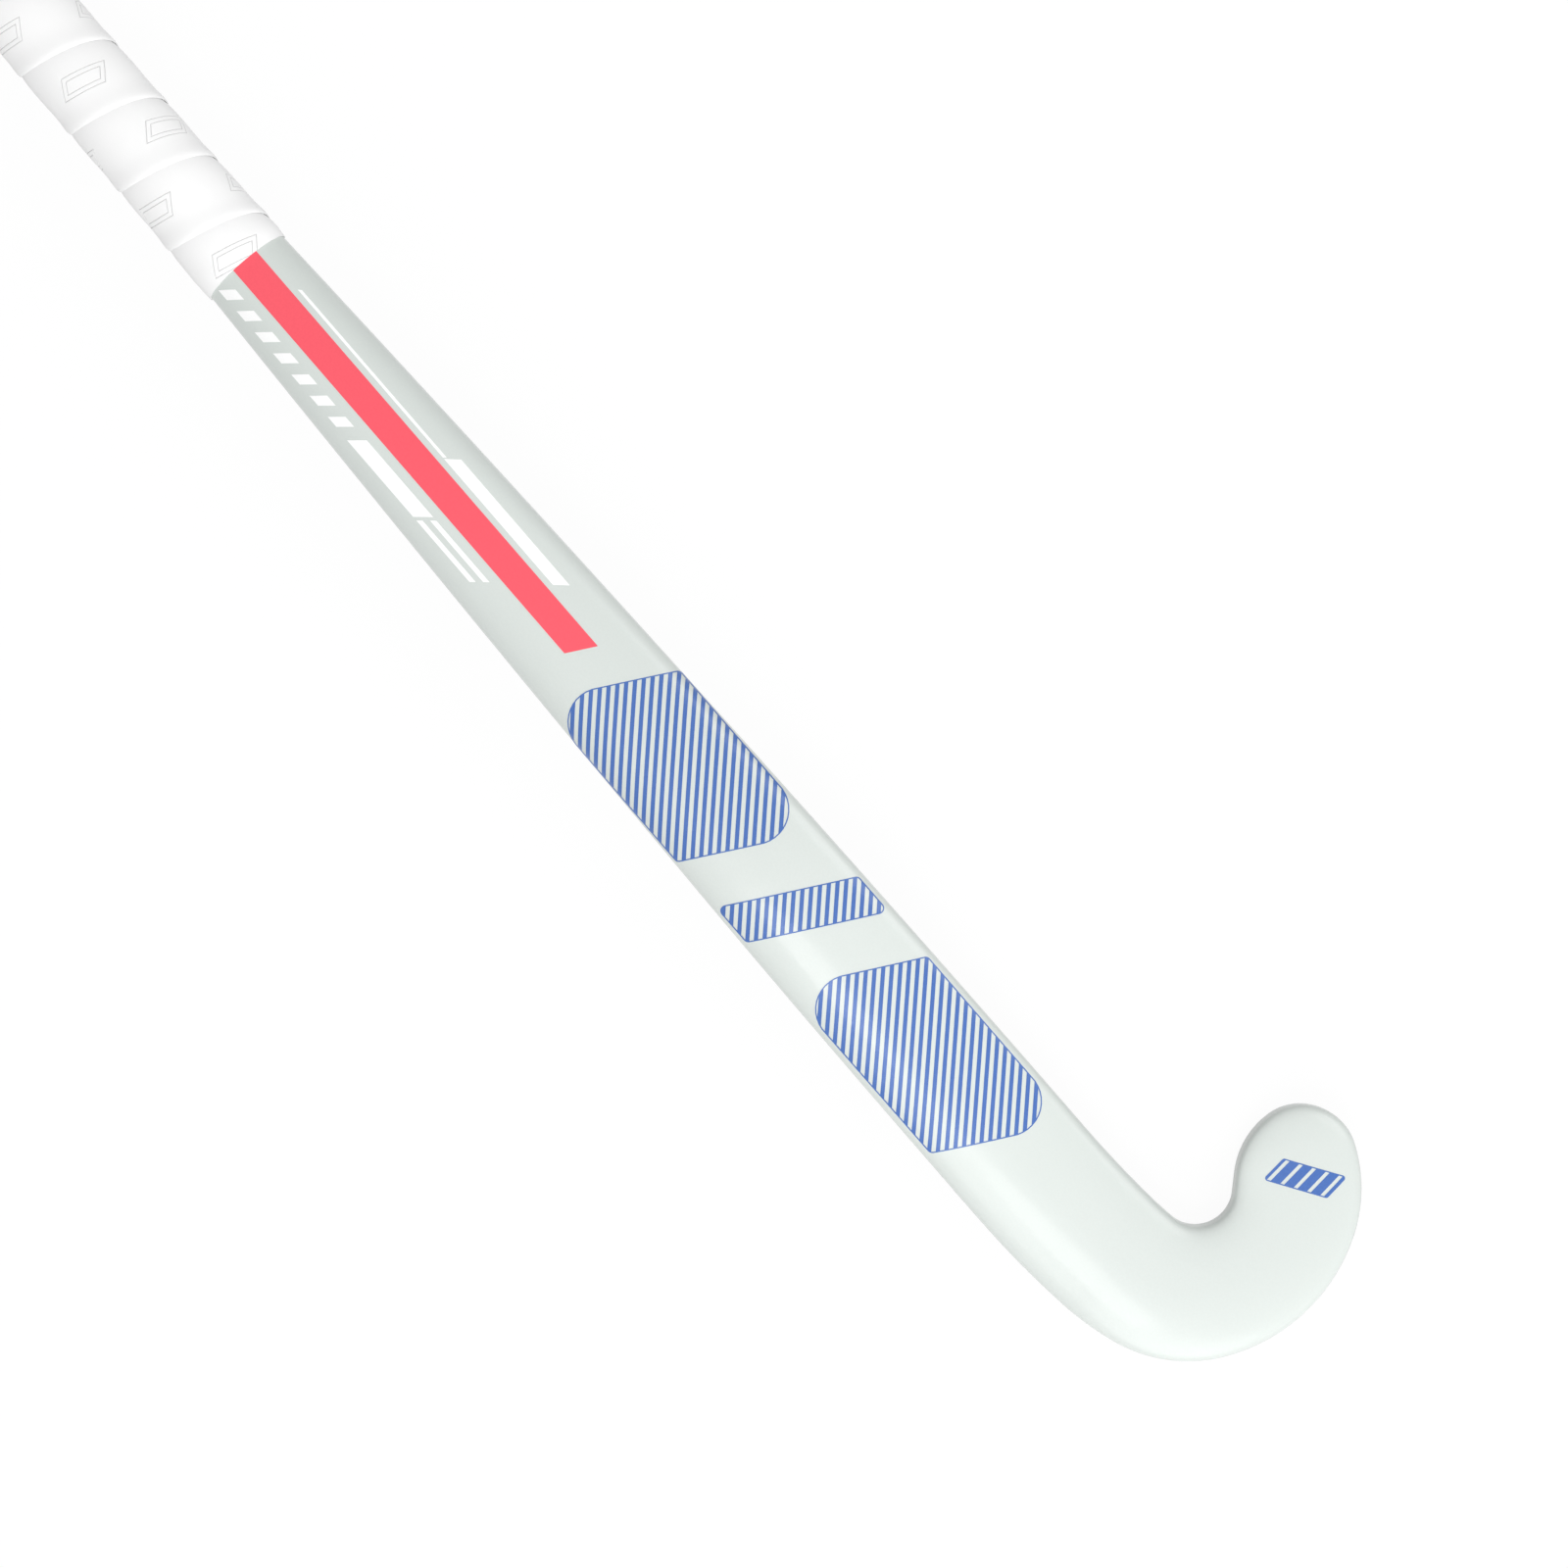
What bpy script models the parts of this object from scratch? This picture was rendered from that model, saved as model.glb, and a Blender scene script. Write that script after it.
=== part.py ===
"""Right-handed indoor hockey stick, lying on its flat playing face.

X runs from the butt to the base of the head, Y towards the toe and Z out of the
rounded back. The origin is the middle of the stick's box, on the ground. The stick is
a moulded fibre shell over foam cores, with a cap, a wound grip and thin colour films.
Lengths are in metres and angles in degrees.
"""
import math
from collections import namedtuple

import bmesh
import bpy
from mathutils import Vector
from mathutils.kdtree import KDTree

for item in list(bpy.data.objects):
    bpy.data.objects.remove(item)
STICK = bpy.data.collections.new("indoor_hockey_stick")
bpy.context.scene.collection.children.link(STICK)

# Whole stick
LENGTH = 0.927               # butt to the base of the head
BARE_LENGTH = 0.507          # lower edge of the grip to the base of the head
CLEARANCE = 0.0003           # between pieces that touch

# Shaft and handle sections
SHAFT_WIDTH = 0.0485
SHAFT_THICKNESS = 0.0205
COLLAR_WIDTH = 0.0320        # where the grip ends
COLLAR_DEPTH = 0.0265
HANDLE_WIDTH = 0.030
HANDLE_DEPTH = 0.028
HANDLE_BLEND = 0.055         # above the collar, where the taper runs out
TAPER_POWER = 1.8
FACE_EDGE = 0.0055           # width of the rounded edge beside the playing face
RIM_SHARE = 0.42             # height of the widest line, as a share of the thickness
HEEL_FULLNESS = 3.2          # exponent of the back's curve, 2 is an ellipse
TOE_SIDE_FULLNESS = 7.5
TOE_FULLNESS = 9.0
CROWN_SHARE = 0.15           # share of its height that the back falls towards its sides

# Bow of the shaft, free space under the face when the stick lies on it
BOW_HEIGHT = 0.020
BOW_PEAK = 0.245             # from the base of the head
FACE_FLAT = 0.055            # flat length of the face from the base

# Outline of the head, as tangent arcs from the heel round the toe to the shaft
HEEL_LEAD_RADIUS = 0.335
HEEL_LEAD_TURN = 6.9
HEEL_RADIUS = 0.106
HEEL_TURN = 12.3
HOOK_RADIUS = 0.0128
HOOK_TURN = 122.6
BASE_BAND = 0.0377           # band of the head beyond the hook's radius
BASE_TURN = 45.5
MIDDLE_BAND = 0.0516
MIDDLE_TURN = 55.2
TOE_BAND = 0.0394
TOE_TURN = 36.8
TIP_RADIUS = 0.0187
TIP_TURN = 108.4
TOE_INNER_RADIUS = 0.0294
TOE_INNER_TURN = 47.4
THROAT_RADIUS = 0.100
THROAT_TURN = 4.8
THROAT_LEAD_RADIUS = 0.400
TOE_THICKNESS = 0.0190

# Inside the shell
WALL = 0.0025
WEB_THICKNESS = 0.0015
PLUG_LENGTH = 0.060
HEAD_CORE_LENGTH = 0.115     # dense core, from the base of the head

# Butt cap
CAP_END = 0.004
CAP_WALL = 0.0023
CAP_DEPTH = 0.014            # length of its skirt over the shell
CAP_ROUND = 0.0018

# Grip strip
GRIP_PITCH = 0.026
GRIP_GAP = 0.0005            # between two turns
GRIP_CROWN = 0.0012
GRIP_EDGE = 0.0004
GRIP_SHOULDER = 0.26         # share of the strip's width that rises to the crown
GRIP_TAIL = 0.0025           # width left where each end is cut square
GRIP_END_ANGLE = 270         # the strip ends under the face side
LOOP_POINTS = 24

# Colour films on the back, placed from the collar and from the shaft's middle line
FILM_THICKNESS = 0.0002
FILM_SLANT = 47.5            # slope of the bars' ends against the shaft
PANEL_SLANT = 61.5           # slope of the ends of the stripe and the panels
STRIPE_WIDTH = 0.0101
STRIPE_OFFSET = 0.0010
STRIPE_LENGTH = 0.173
BLOCK_COUNT = 7
BLOCK_LENGTH = 0.0045
BLOCK_PITCH = 0.00944
BLOCK_WIDTH = 0.0046
BLOCK_OFFSET = -0.0100
BLOCK_START = 0.0030
HEEL_BAR_START = 0.0701
HEEL_BAR_LENGTH = 0.0342
HEEL_BAR_WIDTH = 0.0051
THIN_BAR_START = 0.1059
THIN_BAR_LENGTH = 0.0274
THIN_BAR_WIDTH = 0.0016
TOE_LINE_START = 0.0193
TOE_LINE_LENGTH = 0.0748
TOE_LINE_WIDTH = 0.0010
TOE_LINE_OFFSET = 0.0086
TOE_BAR_LENGTH = 0.0560
TOE_BAR_WIDTH = 0.0042
UPPER_PANEL_START = 0.188
UPPER_PANEL_LENGTH = 0.072
MIDDLE_PANEL_START = 0.280
MIDDLE_PANEL_LENGTH = 0.016
LOWER_PANEL_START = 0.316
LOWER_PANEL_LENGTH = 0.076
PANEL_MARGIN = 0.0025        # bare edge beside a panel
MARK_LENGTH = 0.023
MARK_WIDTH = 0.009
MARK_HEADING = 33.0
MARK_SLANT = 62.0
MARK_SHIFT = (0.0047, -0.0039)   # from the middle of the toe's rounding

# Fineness of the solids
SHAFT_SPACING = 0.024
HANDLE_SPACING = 0.055
HEAD_STEP = 8.0
FAN_STEPS = 10
QUARTER_STEPS = LOOP_POINTS // 4
ARC_STEP = 3.0
MERGE = 0.00001

Rib = namedtuple("Rib", "spine direction half thickness rim edge fullness crown")


def follow(point, heading, arcs):
    """Points along tangent arcs, each a radius and a turn; left turns are positive."""
    points = [point]
    for radius, turn in arcs:
        steps = max(1, round(abs(turn) / ARC_STEP))
        part = math.radians(turn) / steps
        chord = 2 * radius * math.sin(abs(part) / 2)
        for _ in range(steps):
            middle = heading + part / 2
            point = point + chord * Vector((math.cos(middle), math.sin(middle)))
            heading += part
            points.append(point)
    return points, heading


def head_outline():
    """Outline of the head from the heel to the throat, and the hook's and tip's centres."""
    outer, heading = follow(Vector((0, -SHAFT_WIDTH / 2)), 0.0, [
        (HEEL_LEAD_RADIUS, HEEL_LEAD_TURN),
        (HEEL_RADIUS, HEEL_TURN),
        (HOOK_RADIUS + BASE_BAND, BASE_TURN),
        (HOOK_RADIUS + MIDDLE_BAND, MIDDLE_TURN),
        (HOOK_RADIUS + TOE_BAND, TOE_TURN),
    ])
    tip_centre = outer[-1] + TIP_RADIUS * Vector((-math.sin(heading), math.cos(heading)))
    tip, heading = follow(outer[-1], heading, [
        (TIP_RADIUS, TIP_TURN), (TOE_INNER_RADIUS, TOE_INNER_TURN)])
    last_turn = math.degrees(heading) - 180 - HOOK_TURN - THROAT_TURN
    throat, _ = follow(Vector((0, 0)), heading, [
        (HOOK_RADIUS, -HOOK_TURN), (THROAT_RADIUS, -THROAT_TURN), (THROAT_LEAD_RADIUS, -last_turn)])
    flat = (SHAFT_WIDTH / 2 - tip[-1].y - throat[-1].y) / math.sin(heading)
    hook_start = tip[-1] + flat * Vector((math.cos(heading), math.sin(heading)))
    hook_centre = hook_start + HOOK_RADIUS * Vector((math.sin(heading), -math.cos(heading)))
    points = outer + tip[1:] + [hook_start + p for p in throat]
    shift = Vector((LENGTH / 2 - max(p.x for p in points), 0))
    shift.y = (SHAFT_WIDTH / 2 - max(p.y for p in points)) / 2
    points = [p + shift for p in points]
    far = Vector((-LENGTH / 2, 0))
    points = [Vector((far.x, points[0].y))] + points + [Vector((far.x, points[-1].y))]
    return points, hook_centre + shift, tip_centre + shift, shift


OUTLINE, HOOK_CENTRE, TIP_CENTRE, SHIFT = head_outline()
BASE_X = LENGTH / 2
BUTT_X = -LENGTH / 2
COLLAR_X = BASE_X - BARE_LENGTH
TAPER_END_X = SHIFT.x
AXIS_Y = SHIFT.y
SHELL_X = BUTT_X + CAP_END + CLEARANCE
LIP_X = BUTT_X + CAP_DEPTH
PLUG_END_X = SHELL_X + PLUG_LENGTH
CORE_END_X = BASE_X - HEAD_CORE_LENGTH
BUTT_RISE = CLEARANCE + CAP_WALL


def bow(x):
    """Height of the playing face above the ground."""
    back = BASE_X - x
    if back <= FACE_FLAT:
        return 0.0
    if back <= BOW_PEAK:
        share = (back - FACE_FLAT) / (BOW_PEAK - FACE_FLAT)
        return BOW_HEIGHT * (1 - math.cos(math.pi * share)) / 2
    share = (back - BOW_PEAK) / (LENGTH - BOW_PEAK)
    return BOW_HEIGHT + (BUTT_RISE - BOW_HEIGHT) * share ** 2


def taper(x, handle, collar, shaft):
    """Size at x of a section that grows from the handle through the collar to the shaft."""
    along = x - COLLAR_X
    run = TAPER_END_X - COLLAR_X
    if along >= 0:
        left = max(0.0, 1 - along / run)
        return shaft + (collar - shaft) * left ** TAPER_POWER
    slope = (shaft - collar) * TAPER_POWER / run
    share = min(1.0, -along / HANDLE_BLEND)
    eased = (1 - share) ** 2 * (1 + 2 * share)
    return handle + (collar - handle) * eased - slope * HANDLE_BLEND * share * (1 - share) ** 2


def squareness(x):
    """0 on the oval handle, 1 on the flat-faced shaft and head."""
    share = min(1.0, max(0.0, (x - COLLAR_X) / (TAPER_END_X - COLLAR_X)))
    return share * share * (3 - 2 * share)


def crossings(origin, direction):
    """Distances from a point to the outline along a direction, nearest first."""
    found = []
    for a, b in zip(OUTLINE, OUTLINE[1:]):
        edge = b - a
        spread = direction.x * edge.y - direction.y * edge.x
        if abs(spread) < 1e-12:
            continue
        gap = a - origin
        distance = (gap.x * edge.y - gap.y * edge.x) / spread
        place = (gap.x * direction.y - gap.y * direction.x) / spread
        if distance > 0 and -1e-9 <= place <= 1 + 1e-9:
            found.append(distance)
    found.sort()
    return [d for i, d in enumerate(found) if i == 0 or d - found[i - 1] > MERGE]


def make_rib(spine, direction, half, side_fullness, progress):
    """Half section from the spine out to the outline; progress is 0 on the shaft, 1 at the tip."""
    square = squareness(spine.x)
    thickness = taper(spine.x, HANDLE_DEPTH, COLLAR_DEPTH, SHAFT_THICKNESS)
    thickness += (TOE_THICKNESS - SHAFT_THICKNESS) * progress
    rim = thickness * (0.5 + (RIM_SHARE - 0.5) * square)
    edge = half + (FACE_EDGE - half) * square
    fullness = 2 + (side_fullness - 2) * square
    fullness += (TOE_FULLNESS - fullness) * progress
    return Rib(spine, direction, half, thickness, rim, edge, fullness, CROWN_SHARE * square)


def shaft_ribs(x):
    """Heel-side and toe-side half sections of the shaft at x."""
    heelward = Vector((0, -1))
    toeward = Vector((0, 1))
    low = high = taper(x, HANDLE_WIDTH, COLLAR_WIDTH, SHAFT_WIDTH) / 2
    if x > TAPER_END_X:
        middle = Vector((x, AXIS_Y))
        low = crossings(middle, heelward)[0]
        high = crossings(middle, toeward)[0]
    spine = Vector((x, AXIS_Y + (high - low) / 2))
    half = (low + high) / 2
    return (make_rib(spine, heelward, half, HEEL_FULLNESS, 0),
            make_rib(spine, toeward, half, TOE_SIDE_FULLNESS, 0))


def head_ribs():
    """Half sections round the hook: the base's, the fan at the tip and the hook's own."""
    last = math.degrees(math.atan2(TIP_CENTRE.y - HOOK_CENTRE.y, TIP_CENTRE.x - HOOK_CENTRE.x))
    steps = round((last + 90) / HEAD_STEP)
    base_side = []
    hook_side = []
    for i in range(steps + 1):
        angle = math.radians(-90 + (last + 90) * i / steps)
        outward = Vector((math.cos(angle), math.sin(angle)))
        near, far = crossings(HOOK_CENTRE, outward)[:2]
        spine = HOOK_CENTRE + outward * (near + far) / 2
        half = (far - near) / 2
        base_side.append(make_rib(spine, outward, half, HEEL_FULLNESS, i / steps))
        hook_side.append(make_rib(spine, -outward, half, TOE_SIDE_FULLNESS, i / steps))
    fan = []
    for i in range(1, FAN_STEPS):
        angle = math.radians(last + 180 * i / FAN_STEPS)
        outward = Vector((math.cos(angle), math.sin(angle)))
        fan.append(make_rib(spine, outward, crossings(spine, outward)[0], TOE_FULLNESS, 1))
    return base_side, fan, hook_side


def stations(start, end):
    """Places along the shaft from start to end, shared by every piece."""
    marks = sorted([SHELL_X, PLUG_END_X, COLLAR_X, CORE_END_X, TAPER_END_X, HOOK_CENTRE.x])
    grid = []
    for low, high in zip(marks, marks[1:]):
        spacing = HANDLE_SPACING if low < COLLAR_X - MERGE else SHAFT_SPACING
        steps = max(1, math.ceil((high - low) / spacing))
        grid += [low + (high - low) * i / steps for i in range(steps)]
    inner = [x for x in grid if start + CLEARANCE < x < end - CLEARANCE]
    return [start] + inner + [end]


def ribs_between(start, end):
    """Heel-side ribs towards the head, and toe-side ribs back again."""
    pairs = [shaft_ribs(x) for x in stations(start, end)]
    return [heel for heel, _ in pairs], [toe for _, toe in reversed(pairs)]


def ribs_to_toe(start):
    """One run of ribs from start along the heel, round the toe and back along the shaft."""
    heel, toe = ribs_between(start, HOOK_CENTRE.x)
    base_side, fan, hook_side = head_ribs()
    return heel[:-1] + base_side + fan + hook_side[::-1] + toe[1:]


def curve(value, fullness):
    return 0.0 if value < 1e-9 else value ** (2 / fullness)


def rib_points(rib, inset, back_only=False):
    """Points of a half section moved inwards by inset, from the top of the spine down."""
    half = rib.half - inset
    rise = rib.thickness - rib.rim - inset
    drop = rib.rim - inset
    edge = min(half, max(rib.edge - inset, rib.edge / 3))
    profile = []
    for i in range(QUARTER_STEPS, -1, -1):
        angle = math.pi / 2 * i / QUARTER_STEPS
        out = curve(math.cos(angle), rib.fullness)
        height = curve(math.sin(angle), rib.fullness) * (1 - rib.crown * out * out)
        profile.append((half * out, rise * height))
    if not back_only:
        for i in range(1, QUARTER_STEPS + 1):
            angle = math.pi / 2 * i / QUARTER_STEPS
            profile.append((half - edge + edge * math.cos(angle), -drop * math.sin(angle)))
        profile.append((0.0, -drop))
    points = []
    for out, height in profile:
        place = rib.spine + rib.direction * out
        points.append((place.x, place.y, bow(place.x) + rib.rim + height))
    return points


def add_skin(bm, ribs, inset, back_only=False):
    """Surface through a run of ribs, facing out."""
    rows = [[bm.verts.new(p) for p in rib_points(rib, inset, back_only)] for rib in ribs]
    for row, following in zip(rows, rows[1:]):
        join_rows(bm, row, following)
    return rows


def join_rows(bm, row, following):
    for i in range(len(row) - 1):
        bm.faces.new((row[i], row[i + 1], following[i + 1], following[i]))


def open_edges(bm):
    return [edge for edge in bm.edges if edge.is_boundary]


def close_ends(bm):
    """Merge the seams along the spine and fill the flat ends."""
    bmesh.ops.remove_doubles(bm, verts=bm.verts, dist=MERGE)
    bmesh.ops.edgeloop_fill(bm, edges=open_edges(bm))
    bmesh.ops.recalc_face_normals(bm, faces=bm.faces)


def add_piece(name, bm, material):
    """Object in the stick's collection, smooth except over sharp edges."""
    mesh = bpy.data.meshes.new(name)
    bm.to_mesh(mesh)
    bm.free()
    mesh.shade_smooth()
    mesh.set_sharp_from_angle(angle=math.radians(40))
    mesh.materials.append(material)
    piece = bpy.data.objects.new(name, mesh)
    STICK.objects.link(piece)
    return piece


def add_material(name, colour, roughness):
    material = bpy.data.materials.new(name)
    material.use_nodes = True
    shader = material.node_tree.nodes["Principled BSDF"]
    shader.inputs["Base Color"].default_value = (*colour, 1)
    shader.inputs["Roughness"].default_value = roughness
    shader.inputs["Metallic"].default_value = 0.0
    material.diffuse_color = (*colour, 1)
    return material


def make_shell():
    """Moulded fibre shell, hollow and open at the butt."""
    bm = bmesh.new()
    ribs = ribs_to_toe(SHELL_X)
    outside = add_skin(bm, ribs, 0)
    inside = add_skin(bm, ribs, WALL)
    for end in (0, -1):
        join_rows(bm, outside[end], inside[end])
    bmesh.ops.remove_doubles(bm, verts=bm.verts, dist=MERGE)
    bmesh.ops.recalc_face_normals(bm, faces=bm.faces)
    add_piece("laminate_shell", bm, add_material("white_lacquer", (0.80, 0.86, 0.83), 0.35))


def make_head_core():
    """Dense core that fills the head behind the playing face."""
    bm = bmesh.new()
    add_skin(bm, ribs_to_toe(CORE_END_X), WALL + CLEARANCE)
    close_ends(bm)
    add_piece("head_core", bm, add_material("dense_core", (0.62, 0.52, 0.34), 0.8))


def solid_between(start, end, inset):
    bm = bmesh.new()
    for ribs in ribs_between(start, end):
        add_skin(bm, ribs, inset)
    close_ends(bm)
    return bm


def make_shaft_cores():
    """Two light foam cores, one on each side of the centre web."""
    foam = add_material("light_foam", (0.85, 0.78, 0.55), 0.9)
    for name, side in (("heel_side_core", -1), ("toe_side_core", 1)):
        bm = solid_between(PLUG_END_X + CLEARANCE, CORE_END_X - CLEARANCE, WALL + CLEARANCE)
        plane = Vector((0, AXIS_Y + side * (WEB_THICKNESS / 2 + CLEARANCE), 0))
        bmesh.ops.bisect_plane(bm, geom=bm.verts[:] + bm.edges[:] + bm.faces[:], dist=MERGE,
                               plane_co=plane, plane_no=(0, -side, 0), clear_outer=True)
        close_ends(bm)
        add_piece(name, bm, foam)


def make_web():
    """Laminate web that joins the face wall to the back wall between the foam cores."""
    low = []
    high = []
    for x in stations(PLUG_END_X + CLEARANCE, CORE_END_X - CLEARANCE):
        thickness = taper(x, HANDLE_DEPTH, COLLAR_DEPTH, SHAFT_THICKNESS)
        low.append((x, bow(x) + WALL + CLEARANCE))
        high.append((x, bow(x) + thickness - WALL - CLEARANCE))
    outline = low + high[::-1]
    plate = bpy.data.curves.new("centre_web", "CURVE")
    plate.dimensions = "2D"
    plate.fill_mode = "BOTH"
    plate.extrude = WEB_THICKNESS / 2
    spline = plate.splines.new("POLY")
    spline.points.add(len(outline) - 1)
    for point, (x, z) in zip(spline.points, outline):
        point.co = (x, z, 0, 1)
    spline.use_cyclic_u = True
    plate.materials.append(add_material("bare_laminate", (0.06, 0.06, 0.07), 0.5))
    web = bpy.data.objects.new("centre_web", plate)
    web.location.y = AXIS_Y
    web.rotation_euler.x = math.pi / 2
    STICK.objects.link(web)


def add_rings(bm, rings):
    """Tube wall through closed rings of equal count."""
    rows = [[bm.verts.new(p) for p in ring] for ring in rings]
    count = len(rows[0])
    for row, following in zip(rows, rows[1:]):
        for i in range(count):
            j = (i + 1) % count
            bm.faces.new((row[i], row[j], following[j], following[i]))


def make_plug():
    """Plug bonded into the open end of the shell."""
    bm = solid_between(SHELL_X, PLUG_END_X, WALL + CLEARANCE)
    add_piece("handle_plug", bm, add_material("plug_plastic", (0.15, 0.15, 0.16), 0.6))


def around_handle(x, angle, outset):
    """Point round the oval handle, from the toe side over the back."""
    half = taper(x, HANDLE_WIDTH, COLLAR_WIDTH, SHAFT_WIDTH) / 2 + outset
    depth = taper(x, HANDLE_DEPTH, COLLAR_DEPTH, SHAFT_THICKNESS) / 2
    return Vector((x, AXIS_Y + half * math.cos(angle),
                   bow(x) + depth + (depth + outset) * math.sin(angle)))


def handle_ring(x, outset):
    return [around_handle(x, 2 * math.pi * i / LOOP_POINTS, outset) for i in range(LOOP_POINTS)]


def make_cap():
    """Moulded cap pushed over the butt, with a rounded edge and a flat end."""
    bm = bmesh.new()
    outside = CLEARANCE + CAP_WALL
    rings = [handle_ring(BUTT_X + CAP_END, CLEARANCE), handle_ring(LIP_X, CLEARANCE)]
    rings.append(handle_ring(LIP_X, outside))
    for degrees in (0, 30, 60, 90):
        angle = math.radians(degrees)
        rings.append(handle_ring(BUTT_X + CAP_ROUND * (1 - math.sin(angle)),
                                 outside - CAP_ROUND * (1 - math.cos(angle))))
    add_rings(bm, rings)
    close_ends(bm)
    add_piece("butt_cap", bm, add_material("cap_rubber", (0.90, 0.91, 0.91), 0.55))


def least_gap(rings):
    """Least distance between points of different turns."""
    tree = KDTree(sum(len(ring) for ring in rings))
    turn_of = []
    for place, ring in enumerate(rings):
        for point in ring:
            tree.insert(point, len(turn_of))
            turn_of.append(place)
    tree.balance()
    best = math.inf
    for place, ring in enumerate(rings):
        for point in ring:
            for _, index, distance in tree.find_range(point, 4 * GRIP_GAP):
                if abs(turn_of[index] - place) > LOOP_POINTS / 2:
                    best = min(best, distance)
    return best


def make_grip():
    """Cushioned strip wound from the cap to the collar, cut square at both ends."""
    start = LIP_X + CLEARANCE
    width = GRIP_PITCH - GRIP_GAP
    run = COLLAR_X - start + width - 2 * GRIP_TAIL
    steps = math.floor(run / GRIP_PITCH * LOOP_POINTS)
    rings = []
    for i in range(steps + 1):
        angle = math.radians(GRIP_END_ANGLE) + 2 * math.pi * (steps - i) / LOOP_POINTS
        leading = start + GRIP_TAIL + GRIP_PITCH * i / LOOP_POINTS
        low = max(start, leading - width)
        high = min(leading, COLLAR_X)
        fill = min(1.0, (high - low) / (width / 2))
        crown = GRIP_EDGE + (GRIP_CROWN - GRIP_EDGE) * fill
        shoulder = (high - low) * GRIP_SHOULDER
        section = ((low, 0), (high, 0), (high, GRIP_EDGE), (high - shoulder, crown),
                   (low + shoulder, crown), (low, GRIP_EDGE))
        rings.append([around_handle(x, angle, CLEARANCE + out) for x, out in section])
    print("grip turns", round(steps / LOOP_POINTS, 1), "least gap in mm", round(least_gap(rings) * 1000, 3))
    bm = bmesh.new()
    add_rings(bm, rings)
    close_ends(bm)
    add_piece("grip_wrap", bm, add_material("grip_foam", (0.93, 0.93, 0.93), 0.7))


def cut(bm, x, y, angle):
    """Clear what lies to the right of a line through x, y, looking along its angle."""
    direction = math.radians(angle)
    bmesh.ops.bisect_plane(bm, geom=bm.verts[:] + bm.edges[:] + bm.faces[:], dist=MERGE,
                           plane_co=(x, y, 0), plane_no=(math.sin(direction), -math.cos(direction), 0),
                           clear_outer=True)


def slanted_patch(x, y, length, width, heading, slant):
    """Patch of the back's surface: a slanted bar centred on y that starts at x."""
    bm = bmesh.new()
    add_skin(bm, ribs_to_toe(COLLAR_X + CLEARANCE), -CLEARANCE, back_only=True)
    bmesh.ops.remove_doubles(bm, verts=bm.verts, dist=MERGE)
    along = Vector((math.cos(math.radians(heading)), math.sin(math.radians(heading))))
    across = Vector((-along.y, along.x))
    start = Vector((x, y))
    low = start - across * width / 2
    high = start + across * width / 2
    end = start + along * length
    cut(bm, low.x, low.y, heading)
    cut(bm, high.x, high.y, heading + 180)
    cut(bm, start.x, start.y, heading + slant + 180)
    cut(bm, end.x, end.y, heading + slant)
    return bm


def add_film(name, material, patch):
    """Thin printed film just above the lacquer."""
    film = add_piece(name, patch, material)
    thickness = film.modifiers.new("Thickness", "SOLIDIFY")
    thickness.thickness = FILM_THICKNESS
    thickness.offset = 1.0


def add_shaft_film(name, material, start, offset, length, width, slant=FILM_SLANT):
    """Slanted bar on the shaft, placed from the collar and the middle line."""
    patch = slanted_patch(COLLAR_X + start, AXIS_Y + offset, length, width, 0, slant)
    add_film(name, material, patch)


def make_films():
    """Stripe, blocks, bars, panels and the toe's mark, all on the back."""
    red = add_material("red_film", (0.84, 0.10, 0.13), 0.35)
    white = add_material("white_film", (0.95, 0.96, 0.96), 0.35)
    blue = add_material("blue_film", (0.14, 0.22, 0.60), 0.35)
    add_shaft_film("red_stripe", red, -STRIPE_WIDTH, STRIPE_OFFSET,
                   STRIPE_LENGTH + STRIPE_WIDTH, STRIPE_WIDTH, PANEL_SLANT)
    for i in range(BLOCK_COUNT):
        add_shaft_film(f"white_block_{i + 1}", white, BLOCK_START + i * BLOCK_PITCH,
                       BLOCK_OFFSET, BLOCK_LENGTH, BLOCK_WIDTH)
    add_shaft_film("white_heel_bar", white, HEEL_BAR_START, BLOCK_OFFSET,
                   HEEL_BAR_LENGTH, HEEL_BAR_WIDTH)
    run = 1 / math.tan(math.radians(FILM_SLANT))
    spread = (HEEL_BAR_WIDTH - THIN_BAR_WIDTH) / 2
    for number, shift in ((1, -spread), (2, spread)):
        add_shaft_film(f"white_thin_bar_{number}", white, THIN_BAR_START + shift * run,
                       BLOCK_OFFSET + shift, THIN_BAR_LENGTH, THIN_BAR_WIDTH)
    add_shaft_film("white_toe_line", white, TOE_LINE_START, TOE_LINE_OFFSET,
                   TOE_LINE_LENGTH, TOE_LINE_WIDTH)
    step = (TOE_BAR_WIDTH - TOE_LINE_WIDTH) / 2
    toe_bar_start = TOE_LINE_START + TOE_LINE_LENGTH + step * run + 2 * CLEARANCE
    add_shaft_film("white_toe_bar", white, toe_bar_start, TOE_LINE_OFFSET + step,
                   TOE_BAR_LENGTH, TOE_BAR_WIDTH)
    width = SHAFT_WIDTH - 2 * PANEL_MARGIN
    for name, start, length in (("upper_panel", UPPER_PANEL_START, UPPER_PANEL_LENGTH),
                                ("middle_panel", MIDDLE_PANEL_START, MIDDLE_PANEL_LENGTH),
                                ("lower_panel", LOWER_PANEL_START, LOWER_PANEL_LENGTH)):
        add_shaft_film(name, blue, start, 0, length, width, PANEL_SLANT)
    heading = math.radians(MARK_HEADING)
    half = Vector((math.cos(heading), math.sin(heading))) * MARK_LENGTH / 2
    start = TIP_CENTRE + Vector(MARK_SHIFT) - half
    add_film("toe_mark", blue, slanted_patch(start.x, start.y, MARK_LENGTH, MARK_WIDTH,
                                             MARK_HEADING, MARK_SLANT))


make_shell()
make_web()
make_shaft_cores()
make_head_core()
make_plug()
make_cap()
make_grip()
make_films()
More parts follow.
